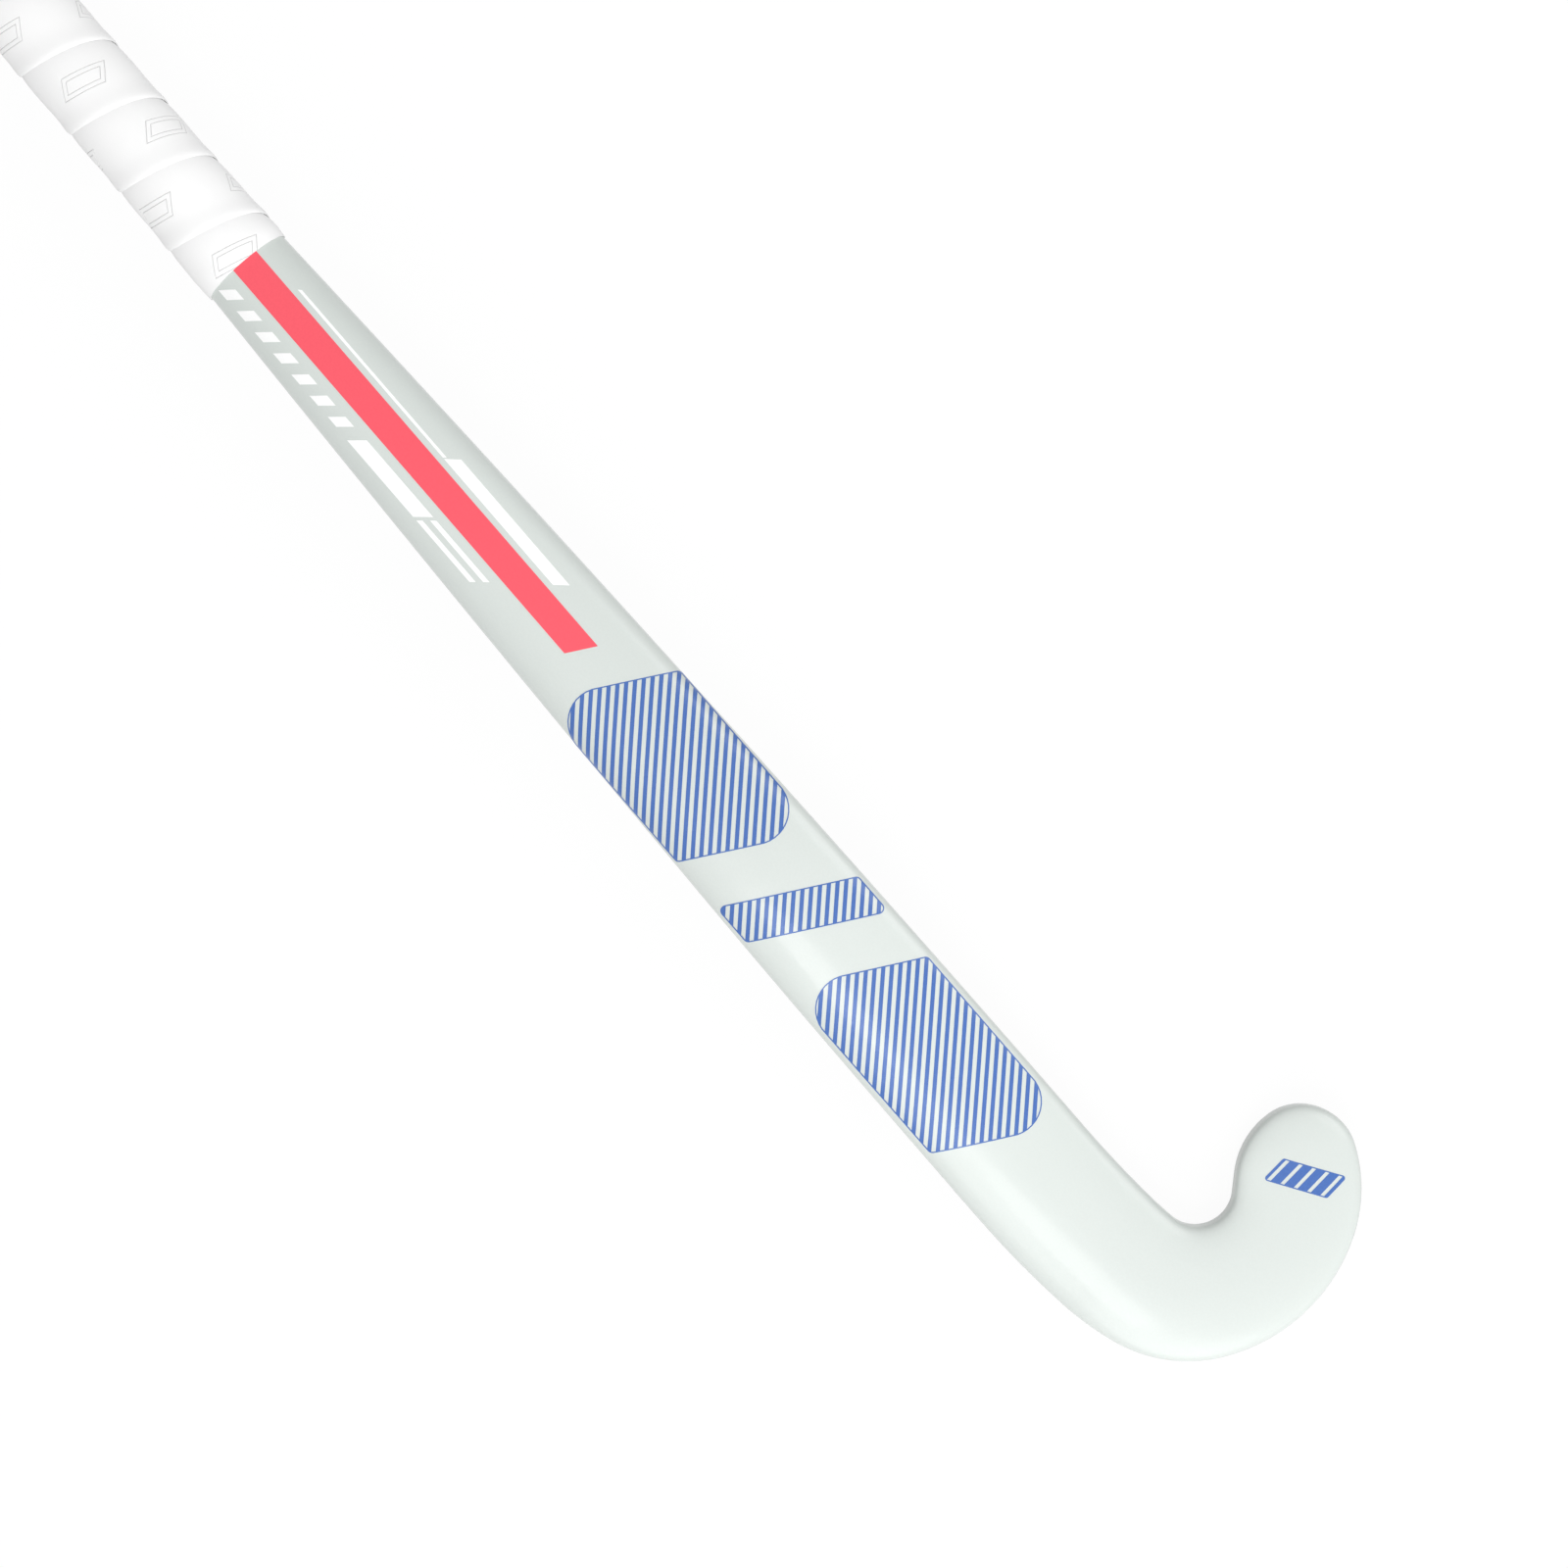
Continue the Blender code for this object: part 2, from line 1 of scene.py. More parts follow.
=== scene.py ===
import math
from collections import namedtuple

import bmesh
import bpy
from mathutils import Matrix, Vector, noise


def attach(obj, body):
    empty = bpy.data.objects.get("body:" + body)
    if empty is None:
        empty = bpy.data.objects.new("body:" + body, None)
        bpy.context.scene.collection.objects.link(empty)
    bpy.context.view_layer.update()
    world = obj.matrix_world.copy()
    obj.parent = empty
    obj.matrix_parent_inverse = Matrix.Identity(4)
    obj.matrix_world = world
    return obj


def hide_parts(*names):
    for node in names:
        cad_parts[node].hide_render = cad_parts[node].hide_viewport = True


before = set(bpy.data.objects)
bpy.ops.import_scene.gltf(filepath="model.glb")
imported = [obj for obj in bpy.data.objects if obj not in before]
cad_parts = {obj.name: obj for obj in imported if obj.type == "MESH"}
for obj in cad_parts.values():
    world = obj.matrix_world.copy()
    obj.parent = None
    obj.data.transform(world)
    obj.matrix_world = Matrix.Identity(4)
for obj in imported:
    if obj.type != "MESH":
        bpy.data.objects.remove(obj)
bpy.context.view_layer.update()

# The moulded shell is shaft, handle and head in one piece of fibre laminate, 2.5 mm thick.
# Its playing face is flat and lies on the floor, its back is rounded, and the shaft bows up
# between them. It is sprayed white with a hint of mint under a satin clear lacquer.
STICK_LENGTH = 0.927
BARE_LENGTH = 0.507
SHAFT_WIDTH = 0.0485
SHAFT_THICKNESS = 0.0205
COLLAR_WIDTH = 0.0320
COLLAR_DEPTH = 0.0265
HANDLE_WIDTH = 0.030
HANDLE_DEPTH = 0.028
HANDLE_BLEND = 0.055
TAPER_POWER = 1.8
TOE_THICKNESS = 0.0190
WALL = 0.0025
FACE_EDGE = 0.0055
RIM_SHARE = 0.42
HEEL_FULLNESS = 3.2
HOOK_FULLNESS = 7.5
TOE_FULLNESS = 9.0
CROWN_SHARE = 0.15
BOW_HEIGHT = 0.020
BOW_PEAK = 0.245
FACE_FLAT = 0.055
BUTT_RISE = 0.0026
BUTT_GAP = 0.0043
HEEL_ARCS = ((0.335, 6.9), (0.106, 12.3), (0.0505, 45.5), (0.0644, 55.2), (0.0522, 36.8))
TIP_ARC = (0.0187, 108.4)
TOE_INNER_ARC = (0.0294, 47.4)
HOOK_ARC = (0.0128, -122.6)
THROAT_ARC = (0.100, -4.8)
THROAT_LEAD = 0.400
RIB_SPACING = 0.005
RIB_STEP = 2.5
TIP_STEPS = 48
BACK_POINTS = 24
BACK_STEPS = 160
BACK_CROWDING = 1.5
BACK_BEND = 0.008
EDGE_POINTS = 9
EDGE_STEPS = 60
EDGE_BEND = 0.004

Rib = namedtuple("Rib", "spine direction half thickness rim edge fullness crown")


def turned(point, heading, arcs):
    """Points along tangent arcs, each a radius and a turn in degrees."""
    points = [point]
    for radius, turn in arcs:
        steps = max(1, round(abs(turn)))
        part = math.radians(turn) / steps
        chord = 2 * radius * math.sin(abs(part) / 2)
        for _ in range(steps):
            middle = heading + part / 2
            point = point + chord * Vector((math.cos(middle), math.sin(middle)))
            heading += part
            points.append(point)
    return points, heading


def stick_outline():
    """Outline along the heel, round the toe and the hook and back to the shaft."""
    outer, heading = turned(Vector((0, -SHAFT_WIDTH / 2)), 0.0, HEEL_ARCS)
    tip_centre = outer[-1] + TIP_ARC[0] * Vector((-math.sin(heading), math.cos(heading)))
    tip, heading = turned(outer[-1], heading, (TIP_ARC, TOE_INNER_ARC))
    last_turn = math.degrees(heading) - 180 + HOOK_ARC[1] + THROAT_ARC[1]
    throat, _ = turned(Vector((0, 0)), heading, (HOOK_ARC, THROAT_ARC, (THROAT_LEAD, -last_turn)))
    flat = (SHAFT_WIDTH / 2 - tip[-1].y - throat[-1].y) / math.sin(heading)
    hook_start = tip[-1] + flat * Vector((math.cos(heading), math.sin(heading)))
    hook_centre = hook_start + HOOK_ARC[0] * Vector((math.sin(heading), -math.cos(heading)))
    points = outer + tip[1:] + [hook_start + p for p in throat]
    shift = Vector((STICK_LENGTH / 2 - max(p.x for p in points), 0))
    shift.y = (SHAFT_WIDTH / 2 - max(p.y for p in points)) / 2
    return [p + shift for p in points], hook_centre + shift, tip_centre + shift, shift


outline, hook_centre, tip_centre, (taper_end, axis_y) = stick_outline()
base_x = STICK_LENGTH / 2
butt_x = -STICK_LENGTH / 2
collar_x = base_x - BARE_LENGTH


def bow(x):
    """Height of the playing face above the floor."""
    back = base_x - x
    if back <= FACE_FLAT:
        return 0.0
    if back <= BOW_PEAK:
        share = (back - FACE_FLAT) / (BOW_PEAK - FACE_FLAT)
        return BOW_HEIGHT * (1 - math.cos(math.pi * share)) / 2
    share = (back - BOW_PEAK) / (STICK_LENGTH - BOW_PEAK)
    return BOW_HEIGHT + (BUTT_RISE - BOW_HEIGHT) * share ** 2


def tapered(x, handle, collar, shaft):
    """Size at x of a section that grows from the handle through the collar to the shaft."""
    along = x - collar_x
    run = taper_end - collar_x
    if along >= 0:
        left = max(0.0, 1 - along / run)
        return shaft + (collar - shaft) * left ** TAPER_POWER
    slope = (shaft - collar) * TAPER_POWER / run
    share = min(1.0, -along / HANDLE_BLEND)
    eased = (1 - share) ** 2 * (1 + 2 * share)
    return handle + (collar - handle) * eased - slope * HANDLE_BLEND * share * (1 - share) ** 2


def squareness(x):
    """0 on the oval handle, 1 on the flat-faced shaft and head."""
    share = min(1.0, max(0.0, (x - collar_x) / (taper_end - collar_x)))
    return share * share * (3 - 2 * share)


def outline_hits(origin, direction):
    """Distances from a point to the outline along a direction, nearest first."""
    found = []
    for a, b in zip(outline, outline[1:]):
        edge = b - a
        spread = direction.x * edge.y - direction.y * edge.x
        if abs(spread) < 1e-12:
            continue
        gap = a - origin
        distance = (gap.x * edge.y - gap.y * edge.x) / spread
        place = (gap.x * direction.y - gap.y * direction.x) / spread
        if distance > 0 and -1e-9 <= place <= 1 + 1e-9:
            found.append(distance)
    found.sort()
    return [d for i, d in enumerate(found) if i == 0 or d - found[i - 1] > 1e-5]


def make_rib(spine, direction, half, fullness, progress):
    """Half section from the spine out to the outline; progress is 1 at the toe's tip."""
    square = squareness(spine.x)
    thickness = tapered(spine.x, HANDLE_DEPTH, COLLAR_DEPTH, SHAFT_THICKNESS)
    thickness += (TOE_THICKNESS - SHAFT_THICKNESS) * progress
    rim = thickness * (0.5 + (RIM_SHARE - 0.5) * square)
    edge = half + (FACE_EDGE - half) * square
    shaped = 2 + (fullness - 2) * square
    shaped += (TOE_FULLNESS - shaped) * progress
    return Rib(spine, direction, half, thickness, rim, edge, shaped, CROWN_SHARE * square)


def shaft_pair(x):
    """Heel-side and hook-side half sections of the shaft at x."""
    low = high = tapered(x, HANDLE_WIDTH, COLLAR_WIDTH, SHAFT_WIDTH) / 2
    if x > taper_end:
        low = outline_hits(Vector((x, axis_y)), Vector((0, -1)))[0]
        high = outline_hits(Vector((x, axis_y)), Vector((0, 1)))[0]
    spine = Vector((x, axis_y + (high - low) / 2))
    return [make_rib(spine, Vector((0, side)), (low + high) / 2, fullness, 0)
            for side, fullness in ((-1, HEEL_FULLNESS), (1, HOOK_FULLNESS))]


def stick_ribs():
    """One run of half sections along the heel, round the toe and back along the shaft."""
    start = butt_x + BUTT_GAP
    steps = math.ceil((hook_centre.x - start) / RIB_SPACING)
    pairs = [shaft_pair(start + (hook_centre.x - start) * i / steps) for i in range(steps)]
    last = math.degrees(math.atan2(tip_centre.y - hook_centre.y, tip_centre.x - hook_centre.x))
    steps = round((last + 90) / RIB_STEP)
    heel, hook, fan = [], [], []
    for i in range(steps + 1):
        angle = math.radians(-90 + (last + 90) * i / steps)
        outward = Vector((math.cos(angle), math.sin(angle)))
        near, far = outline_hits(hook_centre, outward)[:2]
        spine = hook_centre + outward * (near + far) / 2
        half = (far - near) / 2
        heel.append(make_rib(spine, outward, half, HEEL_FULLNESS, i / steps))
        hook.append(make_rib(spine, -outward, half, HOOK_FULLNESS, i / steps))
    for i in range(1, TIP_STEPS):
        angle = math.radians(last + 180 * i / TIP_STEPS)
        outward = Vector((math.cos(angle), math.sin(angle)))
        fan.append(make_rib(spine, outward, outline_hits(spine, outward)[0], TOE_FULLNESS, 1))
    return [a for a, _ in pairs] + heel + fan + hook[::-1] + [b for _, b in reversed(pairs)]


def spaced(line, count, bend):
    """Points along a line, closer together where it bends."""
    marks = [0.0]
    for i in range(1, len(line)):
        step = line[i] - line[i - 1]
        turn = step.angle(line[i - 1] - line[i - 2], 0) if i > 1 else 0
        marks.append(marks[-1] + step.length + bend * turn)
    points = []
    place = 1
    for i in range(count + 1):
        target = marks[-1] * i / count
        while place < len(marks) - 1 and marks[place] < target:
            place += 1
        share = (target - marks[place - 1]) / max(marks[place] - marks[place - 1], 1e-12)
        points.append(line[place - 1].lerp(line[place], min(1, max(0, share))))
    return points


def half_section(rib, inset):
    """Points of a half section from the top of the spine out over the back to the rim."""
    half = rib.half - inset
    rise = rib.thickness - rib.rim - inset
    power = 2 / rib.fullness
    dense = []
    for i in range(BACK_STEPS + 1):
        angle = math.pi / 2 * (1 - i / BACK_STEPS) ** BACK_CROWDING
        out = math.cos(angle) ** power if i else 0.0
        height = rise * math.sin(angle) ** power * (1 - rib.crown * out * out)
        dense.append(Vector((half * out, height)))
    return spaced(dense, BACK_POINTS, BACK_BEND)


def face_section(rib, inset):
    """Points of a half section from below the rim round the edge to the face's spine."""
    half = rib.half - inset
    drop = rib.rim - inset
    edge = min(half, max(rib.edge - inset, rib.edge / 3))
    dense = [Vector((half - edge + edge * math.cos(a), -drop * math.sin(a)))
             for a in (math.pi / 2 * i / EDGE_STEPS for i in range(EDGE_STEPS + 1))]
    return spaced(dense, EDGE_POINTS, EDGE_BEND)[1:] + [Vector(((half - edge) / 2, -drop)),
                                                        Vector((0, -drop))]


def lay_skin(bm, run, back_only=False):
    """Grid of quads over a run of half sections, each a rib and how far it is set inwards."""
    columns = [half_section(rib, inset) + ([] if back_only else face_section(rib, inset))
               for rib, inset in run]
    grid = bmesh.ops.create_grid(bm, x_segments=len(run) - 1, y_segments=len(columns[0]) - 1)
    for i, vert in enumerate(grid["verts"]):
        rib, _ = run[i % len(run)]
        out, height = columns[i % len(run)][i // len(run)]
        place = rib.spine + rib.direction * out
        vert.co = (place.x, place.y, bow(place.x) + rib.rim + height)
    bmesh.ops.remove_doubles(bm, verts=bm.verts, dist=1e-6)
    bmesh.ops.recalc_face_normals(bm, faces=bm.faces)


def add_piece(name, bm, material, slot, *nodes, sharp=40):
    """Finished piece that stands for CAD nodes, smooth except over sharp edges."""
    mesh = bpy.data.meshes.new(name)
    bm.to_mesh(mesh)
    bm.free()
    mesh.shade_smooth()
    mesh.set_sharp_from_angle(angle=math.radians(sharp))
    mesh.materials.append(material)
    piece = bpy.data.objects.new(name, mesh)
    bpy.context.scene.collection.objects.link(piece)
    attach(piece, "root")
    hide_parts(*nodes)


class Finish:
    """Material whose nodes are added and joined by name."""

    def __init__(self, name):
        self.material = bpy.data.materials.new(name)
        self.material.use_nodes = True
        self.tree = self.material.node_tree
        self.shader = self.tree.nodes["Principled BSDF"]
        self.place = self.add("ShaderNodeTexCoord").outputs["Object"]

    def add(self, kind, **settings):
        node = self.tree.nodes.new(kind)
        for key, value in settings.items():
            setattr(node, key, value)
        return node

    def group(self, group, **values):
        node = self.add("ShaderNodeGroup", node_tree=group)
        for key, value in values.items():
            self.feed(value, node.inputs[key.replace("_", " ")])
        return node

    def feed(self, value, socket):
        """A socket takes another node's output, or a value of its own."""
        if hasattr(value, "is_output"):
            self.tree.links.new(value, socket)
        else:
            socket.default_value = value

    def set(self, **values):
        for key, value in values.items():
            self.feed(value, self.shader.inputs[key.replace("_", " ")])

    def noise(self, scale, detail=2.0):
        node = self.add("ShaderNodeTexNoise")
        self.feed(self.place, node.inputs["Vector"])
        node.inputs["Scale"].default_value = scale
        node.inputs["Detail"].default_value = detail
        return node.outputs["Fac"]

    def ramp(self, value, low, high, start=0.0, end=1.0):
        node = self.add("ShaderNodeMapRange")
        self.feed(value, node.inputs["Value"])
        for name, number in (("From Min", start), ("From Max", end),
                             ("To Min", low), ("To Max", high)):
            node.inputs[name].default_value = number
        return node.outputs["Result"]

    def mix(self, factor, first, second):
        node = self.add("ShaderNodeMix", data_type="RGBA")
        for name, value in (("Factor_Float", factor), ("A_Color", first), ("B_Color", second)):
            socket = next(s for s in node.inputs if s.identifier == name)
            self.feed(value, socket)
        return next(s for s in node.outputs if s.identifier == "Result_Color")

    def calc(self, operation, first, second=0.0):
        node = self.add("ShaderNodeMath", operation=operation)
        self.feed(first, node.inputs[0])
        self.feed(second, node.inputs[1])
        return node.outputs["Value"]

    def bump(self, height, distance):
        node = self.add("ShaderNodeBump")
        self.feed(height, node.inputs["Height"])
        node.inputs["Distance"].default_value = distance
        return node.outputs["Normal"]


def new_group(name, inputs, outputs):
    """Node group with named inputs and outputs, and its input and output nodes."""
    group = bpy.data.node_groups.new(name, "ShaderNodeTree")
    for label, kind, value in inputs:
        socket = group.interface.new_socket(label, in_out="INPUT", socket_type=kind)
        if value is not None:
            socket.default_value = value
    for label, kind in outputs:
        group.interface.new_socket(label, in_out="OUTPUT", socket_type=kind)
    return group, group.nodes.new("NodeGroupInput"), group.nodes.new("NodeGroupOutput")


def spray_coat_group():
    """Orange peel of a sprayed coat and the faint clouds in its tone."""
    group, entry, leave = new_group("spray_coat", (
        ("Place", "NodeSocketVector", None), ("Peel Scale", "NodeSocketFloat", 420.0),
        ("Cloud Scale", "NodeSocketFloat", 9.0)), (
        ("Peel", "NodeSocketFloat"), ("Cloud", "NodeSocketFloat"), ("Grain", "NodeSocketFloat")))
    for label, scale, detail in (("Peel", "Peel Scale", 1.5), ("Cloud", "Cloud Scale", 3.0)):
        node = group.nodes.new("ShaderNodeTexNoise")
        node.inputs["Detail"].default_value = detail
        group.links.new(entry.outputs["Place"], node.inputs["Vector"])
        group.links.new(entry.outputs[scale], node.inputs["Scale"])
        group.links.new(node.outputs["Fac"], leave.inputs[label])
    grain = group.nodes.new("ShaderNodeTexNoise")
    grain.inputs["Scale"].default_value = 1400.0
    grain.inputs["Detail"].default_value = 2.0
    group.links.new(entry.outputs["Place"], grain.inputs["Vector"])
    group.links.new(grain.outputs["Fac"], leave.inputs["Grain"])
    return group


spray_coat = spray_coat_group()
lacquer = Finish("satin_lacquer")
coat = lacquer.group(spray_coat, Place=lacquer.place, Peel_Scale=380.0, Cloud_Scale=7.0)
tone = lacquer.mix(lacquer.ramp(coat.outputs["Cloud"], 0, 1, 0.35, 0.65),
                   (0.611, 0.654, 0.627, 1), (0.632, 0.673, 0.648, 1))
tone = lacquer.mix(lacquer.ramp(coat.outputs["Grain"], 0, 0.25, 0.4, 0.6),
                   tone, (0.586, 0.629, 0.605, 1))
lacquer.set(Base_Color=tone,
            Roughness=lacquer.ramp(coat.outputs["Grain"], 0.34, 0.42, 0.3, 0.7),
            Normal=lacquer.bump(coat.outputs["Peel"], 0.00004),
            Coat_Weight=0.25, Coat_Roughness=0.12)

ribs = stick_ribs()
outside = [(rib, 0.0) for rib in ribs]
inside_wall = [(rib, WALL) for rib in reversed(ribs)]
shell = bmesh.new()
lay_skin(shell, outside + inside_wall + outside[:1])
add_piece("moulded_shell", shell, lacquer.material, "white_lacquer", "laminate_shell")

# Inside the shell a laminate web stands between two foam cores, a dense core fills the head
# and a moulded plug is bonded into the butt. They keep their CAD shapes, since the shell
# hides them, and take their own finishes here.
def finish_node(name, finish):
    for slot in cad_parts[name].material_slots:
        slot.material = finish.material


foam = Finish("rigid_foam")
cells = foam.add("ShaderNodeTexVoronoi", feature="F1")
cells.inputs["Scale"].default_value = 900.0
foam.feed(foam.place, cells.inputs["Vector"])
foam.set(Base_Color=foam.mix(foam.ramp(cells.outputs["Distance"], 0, 1, 0.1, 0.7),
                             (0.60, 0.50, 0.28, 1), (0.86, 0.79, 0.56, 1)),
         Roughness=foam.ramp(foam.noise(200.0), 0.8, 0.95),
         Normal=foam.bump(cells.outputs["Distance"], 0.0004))
finish_node("heel_side_core", foam)
finish_node("toe_side_core", foam)

weave = Finish("bare_laminate")
bands = []
for direction in ("X", "Z"):
    band = weave.add("ShaderNodeTexWave", wave_type="BANDS", bands_direction=direction)
    band.inputs["Scale"].default_value = 160.0
    weave.feed(weave.place, band.inputs["Vector"])
    bands.append(band.outputs["Fac"])
tows = weave.calc("MULTIPLY", *bands)
weave.set(Base_Color=weave.mix(tows, (0.02, 0.02, 0.022, 1), (0.09, 0.09, 0.10, 1)),
          Roughness=weave.ramp(tows, 0.55, 0.35), Normal=weave.bump(tows, 0.0002))
finish_node("centre_web", weave)

dense = Finish("dense_filler")
dense.set(Base_Color=dense.mix(dense.ramp(dense.noise(700.0, 4.0), 0, 1, 0.35, 0.65),
                               (0.48, 0.39, 0.24, 1), (0.72, 0.62, 0.43, 1)),
          Roughness=dense.ramp(dense.noise(90.0), 0.7, 0.9),
          Normal=dense.bump(dense.noise(500.0, 3.0), 0.0002))
finish_node("head_core", dense)

plug = Finish("moulded_plug")
plug.set(Base_Color=plug.mix(plug.noise(25.0), (0.012, 0.012, 0.014, 1), (0.024, 0.024, 0.027, 1)),
         Roughness=plug.ramp(plug.noise(300.0), 0.45, 0.65),
         Normal=plug.bump(plug.noise(900.0, 3.0), 0.00008))
finish_node("handle_plug", plug)

# The butt cap is moulded in soft white rubber and pushed over the end of the handle. Its
# skirt has a rolled lip against the grip and its flat end a shallow ring groove.
CAP_END = 0.004
CAP_WALL = 0.0023
CAP_DEPTH = 0.014
CAP_ROUND = 0.0018
LIP_RADIUS = 0.0010
LIP_HALF_LENGTH = 0.0008
LIP_STEP = 0.0004
RING_BAND = 0.0012
RING_SLOPE = 0.0003
RING_DEPTH = 0.0006
PIECE_GAP = 0.0003
ROUND_STEPS = 96


def around_handle(x, angle, outset):
    """Point round the oval handle, from the hook's side over the back."""
    half = tapered(x, HANDLE_WIDTH, COLLAR_WIDTH, SHAFT_WIDTH) / 2 + outset
    depth = tapered(x, HANDLE_DEPTH, COLLAR_DEPTH, SHAFT_THICKNESS) / 2
    return Vector((x, axis_y + half * math.cos(angle),
                   bow(x) + depth + (depth + outset) * math.sin(angle)))


def cap_profile():
    """Along the cap's wall from its inner end round the lip and the rolled edge."""
    outside = PIECE_GAP + CAP_WALL
    lip = butt_x + CAP_DEPTH
    profile = [(butt_x + CAP_END, PIECE_GAP), (lip, PIECE_GAP)]
    for degrees in range(0, 181, 30):
        angle = math.radians(degrees)
        step_down = LIP_STEP * (degrees > 90)
        profile.append((lip - LIP_RADIUS + LIP_HALF_LENGTH * math.cos(angle),
                        outside - LIP_RADIUS + LIP_RADIUS * math.sin(angle) - step_down))
    for degrees in range(0, 91, 15):
        angle = math.radians(degrees)
        profile.append((butt_x + CAP_ROUND * (1 - math.sin(angle)),
                        outside - CAP_ROUND * (1 - math.cos(angle))))
    return profile


profile = cap_profile()
cap = bmesh.new()
grid = bmesh.ops.create_grid(cap, x_segments=ROUND_STEPS, y_segments=len(profile) - 1)
for i, vert in enumerate(grid["verts"]):
    x, outset = profile[i // (ROUND_STEPS + 1)]
    vert.co = around_handle(x, 2 * math.pi * (i % (ROUND_STEPS + 1)) / ROUND_STEPS, outset)
bmesh.ops.remove_doubles(cap, verts=cap.verts, dist=1e-6)
ends = bmesh.ops.edgeloop_fill(cap, edges=[e for e in cap.edges if e.is_boundary])["faces"]
bmesh.ops.recalc_face_normals(cap, faces=cap.faces)
outer = [f for f in ends if f.calc_center_median().x < butt_x + CAP_END / 2]
for thickness, depth in ((RING_BAND, 0.0), (RING_SLOPE, -RING_DEPTH),
                         (RING_BAND, 0.0), (RING_SLOPE, RING_DEPTH)):
    bmesh.ops.inset_region(cap, faces=outer, thickness=thickness, depth=depth)
rubber = Finish("cap_rubber")
rubber.set(Base_Color=rubber.mix(rubber.noise(30.0), (0.84, 0.85, 0.85, 1), (0.89, 0.90, 0.90, 1)),
           Roughness=rubber.ramp(rubber.noise(400.0), 0.5, 0.65),
           Normal=rubber.bump(rubber.noise(1600.0, 3.0), 0.00006))
add_piece("butt_cap_moulding", cap, rubber.material, "cap_rubber", "butt_cap", sharp=50)

# The grip is one cushioned strip of white foam-backed polymer, wound from the cap to the
# collar. Each turn's collar-side edge laps over the next turn in a soft ridge, and the strip
# is trimmed square to the shaft at both ends. Here it is shaped flat first.
GRIP_PITCH = 0.026
GRIP_TAIL = 0.0008
GRIP_OVERRUN = 0.0247
GRIP_END_ANGLE = 240.9
GRIP_STEPS = 90
GRIP_GIRTH = 0.096
GRIP_GAP = 0.0005
GRIP_WIDTH = GRIP_PITCH - GRIP_GAP
GRIP_SINK = 0.0001
LAP = 0.0012
LAP_FADE = 0.0025
LAP_HOLLOW = 0.0006
LAP_REACH = 0.0015
LAP_UNDERCUT = 0.4
UNEVENNESS = 0.00004
UNEVEN_ALONG = 130
UNEVEN_ROUND = 1.9
MILLIMETRE = 0.001
GRIP_SHAPE = ((0.00, 0.50), (0.03, 0.62), (0.07, 0.78), (0.12, 0.92), (0.20, 1.03), (0.33, 1.08),
              (0.47, 1.05), (0.59, 0.97), (0.69, 0.92), (0.76, 0.95), (0.83, 1.09), (0.885, 1.22),
              (0.93, 1.27), (0.965, 1.20), (0.985, 1.06), (1.00, 0.84))
COLLAR_EASE = 0.0065
COLLAR_EDGE = 0.36

grip_start = butt_x + CAP_DEPTH + PIECE_GAP
grip_length = collar_x + GRIP_OVERRUN - grip_start - GRIP_TAIL
grip_steps = math.floor(grip_length / GRIP_PITCH * GRIP_STEPS)


def strip_height(share):
    """Height of the strip's top between its tucked edge, 0, and its lapping edge, 1."""
    for (start, low), (end, high) in zip(GRIP_SHAPE, GRIP_SHAPE[1:]):
        if share <= end:
            risen = max(0.0, (share - start) / (end - start))
            return MILLIMETRE * (low + (high - low) * risen)
    return MILLIMETRE * GRIP_SHAPE[-1][1]


def collar_ease(x):
    """Share of the strip's height that is left where it thins towards the collar."""
    near = min(1.0, (collar_x - x) / COLLAR_EASE)
    return COLLAR_EDGE + (1 - COLLAR_EDGE) * math.sin(math.pi / 2 * near)


def winding(step):
    """Turns left, angle round the handle and place of the strip's leading edge at a step."""
    turns_left = (grip_steps - step) / GRIP_STEPS
    return (turns_left, math.radians(GRIP_END_ANGLE) + 2 * math.pi * turns_left,
            collar_x + GRIP_OVERRUN - GRIP_PITCH * turns_left)


def flat_section(step):
    """Points round the flat strip's section at a step: along, across and height."""
    turns_left, angle, leading = winding(step)
    low = grip_start if step < GRIP_STEPS else leading - GRIP_WIDTH
    high = collar_x if turns_left < 1 else min(leading, collar_x)
    lap = LAP * min(1.0, (collar_x - leading) / LAP_FADE) if high < collar_x else 0.0
    section = [(low, 0.0), (high - min(LAP_REACH, (high - low) / 2), 0.0),
               (high + lap * LAP_UNDERCUT, LAP_HOLLOW * collar_ease(high) if lap else 0.0)]
    for share, _ in reversed(GRIP_SHAPE):
        x = low + (high + lap - low) * share
        across = (x - leading + GRIP_WIDTH) / (GRIP_WIDTH + lap)
        wander = noise.noise(Vector((x * UNEVEN_ALONG, math.cos(angle) * UNEVEN_ROUND,
                                     math.sin(angle) * UNEVEN_ROUND)))
        section.append((x, strip_height(across) * collar_ease(x) + UNEVENNESS * wander))
    along = step / GRIP_STEPS * GRIP_GIRTH
    return [(along, x - leading + GRIP_WIDTH, height) for x, height in section]


sections = [flat_section(step) for step in range(grip_steps + 1)]
count = len(sections[0])
grip = bmesh.new()
strip_place = grip.verts.layers.float_vector.new("strip_place")
grid = bmesh.ops.create_grid(grip, x_segments=count, y_segments=grip_steps)
for i, vert in enumerate(grid["verts"]):
    vert.co = sections[i // (count + 1)][i % (count + 1) % count]
bmesh.ops.remove_doubles(grip, verts=grip.verts, dist=1e-7)
bmesh.ops.edgeloop_fill(grip, edges=[e for e in grip.edges if e.is_boundary])
bmesh.ops.recalc_face_normals(grip, faces=grip.faces)

